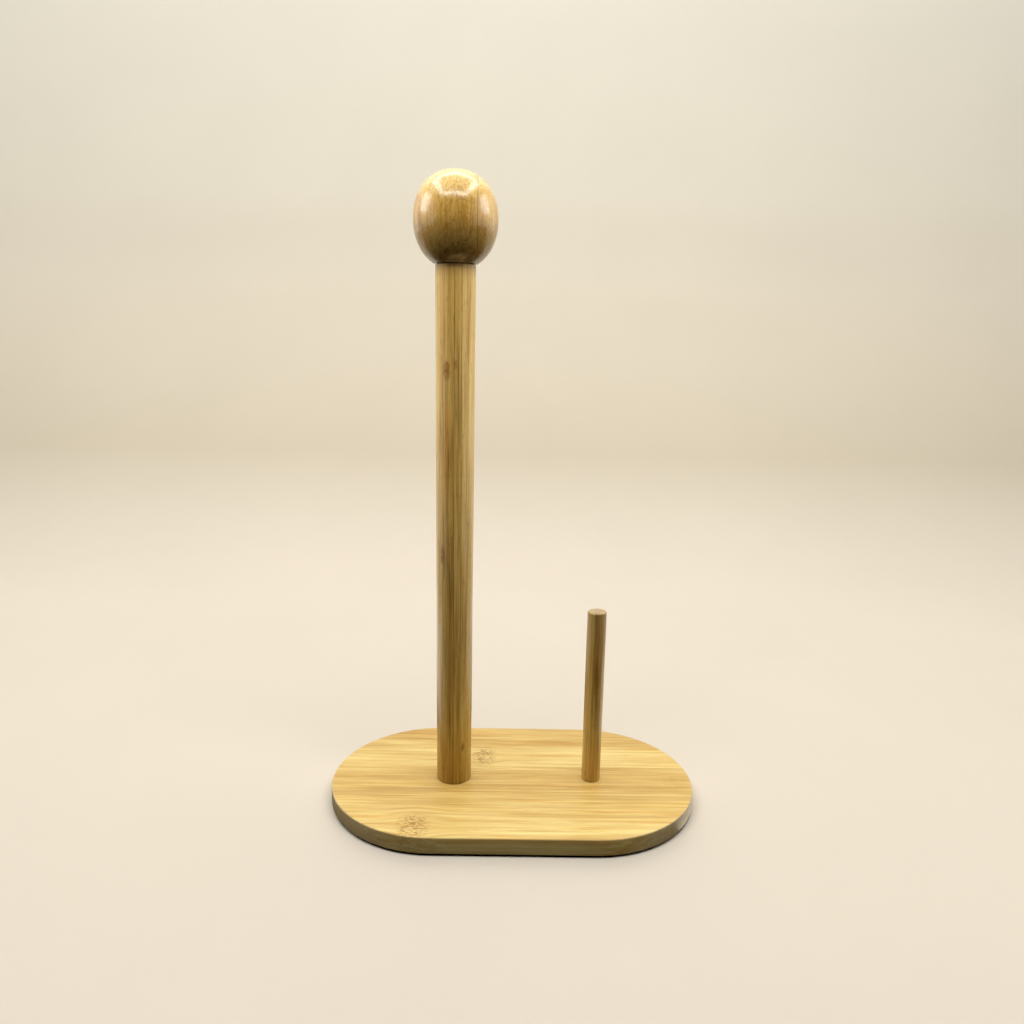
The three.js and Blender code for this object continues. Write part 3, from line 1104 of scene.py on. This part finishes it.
# Powers in watts, but for the lamps, which have watts for each metre of lamp.
LAMP_POWER = 2.55
LAMP_NEAR_SHARE = 1.4
LAMP_FAR_SHARE = 0.7
WALL_POWER = {"left": 0.75, "right": 0.8}
LOW_WALL_POWER = {"left": 0.66, "right": 0.64}
FLOOR_BOUNCE_POWER = {"left": 0.40, "right": 0.28}
PATCH_POWER = {"left": 0.85, "right": 0.75}
FRONT_POWER = 0.36
CEILING_POWER = 2.0
BACKDROP_WASH_POWER = 42.0
UPPER_WASH_POWER = 6.5
SHEET_BOUNCE_POWER = 1.8
TENT_TOP_POWER = 2.2
WALL_DISTANCE = 0.45  # from the post to the tent's side walls
LIGHT_COLOUR = (1, 0.97, 0.92)


def light_group(name, members):
    """A collection that a light can be limited to."""
    group = bpy.data.collections.new(name)
    for member in members:
        group.objects.link(member)
    return group


def area_light(name, place, aim, width, depth, power, group):
    """A soft rectangular light at place, facing aim, that lights only the group."""
    data = bpy.data.lights.new(name, "AREA")
    data.shape = "RECTANGLE"
    data.size = width
    data.size_y = depth
    data.energy = power
    data.color = LIGHT_COLOUR
    made = bpy.data.objects.new(name, data)
    made.location = place
    made.rotation_euler = (Vector(aim) - Vector(place)).to_track_quat("-Z", "Y").to_euler()
    made.visible_camera = False
    made.light_linking.receiver_collection = group
    bpy.context.scene.collection.objects.link(made)
    return made


def lamp_ring(holder):
    """Four long lamps in a square overhead. The knob mirrors them as a bright square."""
    height = 0.78
    left, right = -0.352, 0.270
    near, far = -0.43, 0.15
    bar = 0.115  # a lamp's width
    middle_x, middle_y = (left + right) / 2, (near + far) / 2
    for name, y, share in (("lamp_near", near, LAMP_NEAR_SHARE), ("lamp_far", far, LAMP_FAR_SHARE)):
        length = right - left
        place = (middle_x, y, height)
        power = length * LAMP_POWER * share
        area_light(name, place, (middle_x, y, 0), length, bar, power, holder)
    for name, x in (("lamp_left", left), ("lamp_right", right)):
        length = far - near
        place = (x, middle_y, height)
        power = length * LAMP_POWER
        area_light(name, place, (x, middle_y, 0), bar, length, power, holder)


def side_lights(holder, knob, low_pieces):
    """The tent's pale sides. Their low part and the light that they throw up from the floor leave
    out the knob, whose own light from each side is a small bright patch."""
    wall_height = 0.445
    low_wall_height = 0.14
    bounce_share = 0.47  # of the way from the post to the wall
    bounce_back = 0.14
    bounce_height = 0.003
    patch_height = 0.52
    patch_aim = Vector((POST.x, 0, 0.3))
    for side, x in (("left", POST.x - WALL_DISTANCE), ("right", POST.x + WALL_DISTANCE)):
        place, aim = (x, 0, wall_height), (0, 0, wall_height)
        area_light("wall_" + side, place, aim, 0.8, 0.33, WALL_POWER[side], holder)
        place, aim = (x, 0, low_wall_height), (0, 0, low_wall_height)
        power = LOW_WALL_POWER[side]
        area_light("low_wall_" + side, place, aim, 0.8, 0.28, power, low_pieces)
        place = (POST.x + (x - POST.x) * bounce_share, bounce_back, bounce_height)
        aim = (place[0], place[1], 1)
        power = FLOOR_BOUNCE_POWER[side]
        area_light("floor_bounce_" + side, place, aim, 0.25, 0.36, power, low_pieces)
        place = (x, 0, patch_height)
        area_light("patch_" + side, place, patch_aim, 0.25, 0.22, PATCH_POWER[side], knob)


def front_light(holder):
    """A dim front that nothing mirrors."""
    place = (POST.x, -0.60, 0.55)
    front = area_light("front", place, (POST.x, 0, 0.40), 0.9, 0.7, FRONT_POWER, holder)
    front.visible_glossy = False


def stage_lights(sheets):
    """Wide panels above wash the floor and the backdrop, and only them."""
    area_light("ceiling", (0, -0.2, 1.7), (0, -0.2, 0), 2.6, 2.6, CEILING_POWER, sheets)
    place = (0, -0.7, 1.7)
    area_light("backdrop_wash", place, (0, 0.95, 0.6), 2.4, 1.0, BACKDROP_WASH_POWER, sheets)
    place = (-0.4, 0.2, 1.5)
    area_light("upper_wash", place, (-0.4, 0.95, 0.9), 2.6, 0.5, UPPER_WASH_POWER, sheets)
    place = (0, 0.5, 0.7)
    area_light("sheet_bounce", place, (0, -0.1, 0), 1.6, 0.5, SHEET_BOUNCE_POWER, sheets)


def tent_top(holder):
    """The tent's pale top."""
    place = (POST.x, 0.1, 1.0)
    area_light("tent_top", place, (POST.x, 0.1, 0), 1.4, 1.2, TENT_TOP_POWER, holder)


def make_surround():
    """Past the stage the camera sees a pale surround, which lights nothing."""
    world = bpy.data.worlds.new("tent")
    world.use_nodes = True
    background = world.node_tree.nodes["Background"]
    background.inputs["Color"].default_value = (1.0, 0.91, 0.77, 1)
    background.inputs["Strength"].default_value = 0.75
    bpy.context.scene.world = world
    for ray in ("diffuse", "glossy", "transmission", "scatter"):
        setattr(world.cycles_visibility, ray, False)


def make_lights(stage_sheets):
    """Soft lights, each for the stage, the whole holder, its knob or all but its knob."""
    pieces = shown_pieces()
    sheets = light_group("stage_sheets", stage_sheets)
    holder = light_group("holder_pieces", pieces)
    knob = light_group("knob_alone", [item for item in pieces if item.name == "knob"])
    low_pieces = light_group("low_pieces", [item for item in pieces if item.name != "knob"])
    lamp_ring(holder)
    side_lights(holder, knob, low_pieces)
    front_light(holder)
    stage_lights(sheets)
    tent_top(holder)
    make_surround()


# ---- Camera -------------------------------------------------------------------------------------


def make_camera():
    """The camera stands in front of the holder, lower than the knob, and looks down."""
    place = Vector((-0.00662, -0.44621, 0.26808))
    yaw, pitch, roll = (math.radians(angle) for angle in (0.459, 11.907, 1.037))
    data = bpy.data.cameras.new("camera")
    data.sensor_width = 36
    data.lens = 28.64
    data.clip_start = 0.01
    made = bpy.data.objects.new("camera", data)
    turn = Matrix.Rotation(-yaw, 4, "Z")
    tilt = Matrix.Rotation(math.pi / 2 - pitch, 4, "X")
    made.matrix_world = Matrix.Translation(place) @ turn @ tilt @ Matrix.Rotation(roll, 4, "Z")
    bpy.context.scene.collection.objects.link(made)
    bpy.context.scene.camera = made


# ---- Putting it together ------------------------------------------------------------------------

steel = metal("zinc_steel", (0.72, 0.73, 0.75), (0.50, 0.52, 0.55), 0.32)
brass = metal("turned_brass", (0.80, 0.60, 0.28), (0.62, 0.44, 0.18), 0.3)
rubber = pad_material()

finish_piece(make_board(), board_material(), "bamboo_board", "holder", "base_board")
finish_piece(make_post(), post_material(), "bamboo_post", "holder", "main_post")
finish_piece(make_arm(), arm_material(), "bamboo_arm", "holder", "tear_arm")
finish_piece(make_knob(), knob_material(), "bamboo_knob", "knob", "ball_knob")
for corner in ("front_left", "front_right", "back_left", "back_right"):
    pad = make_pad(f"pad_{corner}", f"foot_pad_{corner}")
    finish_piece(pad, rubber, "pad_foam", "holder", f"foot_pad_{corner}")
for end, part in (("foot", FOOT_INSERT), ("top", TOP_INSERT)):
    insert = make_insert(f"insert_{end}", part)
    finish_piece(insert, brass, "insert_brass", "holder", f"post_{end}_insert")
finish_piece(make_washer(), steel, "fastener_steel", "holder", "post_washer")
finish_piece(make_post_screw(), steel, "fastener_steel", "holder", "post_screw")
finish_piece(make_arm_screw(), steel, "fastener_steel", "holder", "arm_screw")
finish_piece(make_hanger_bolt(), steel, "fastener_steel", "bolt", "knob_hanger_bolt")

make_lights(make_stage())
make_camera()
bpy.context.scene.view_settings.view_transform = "Standard"
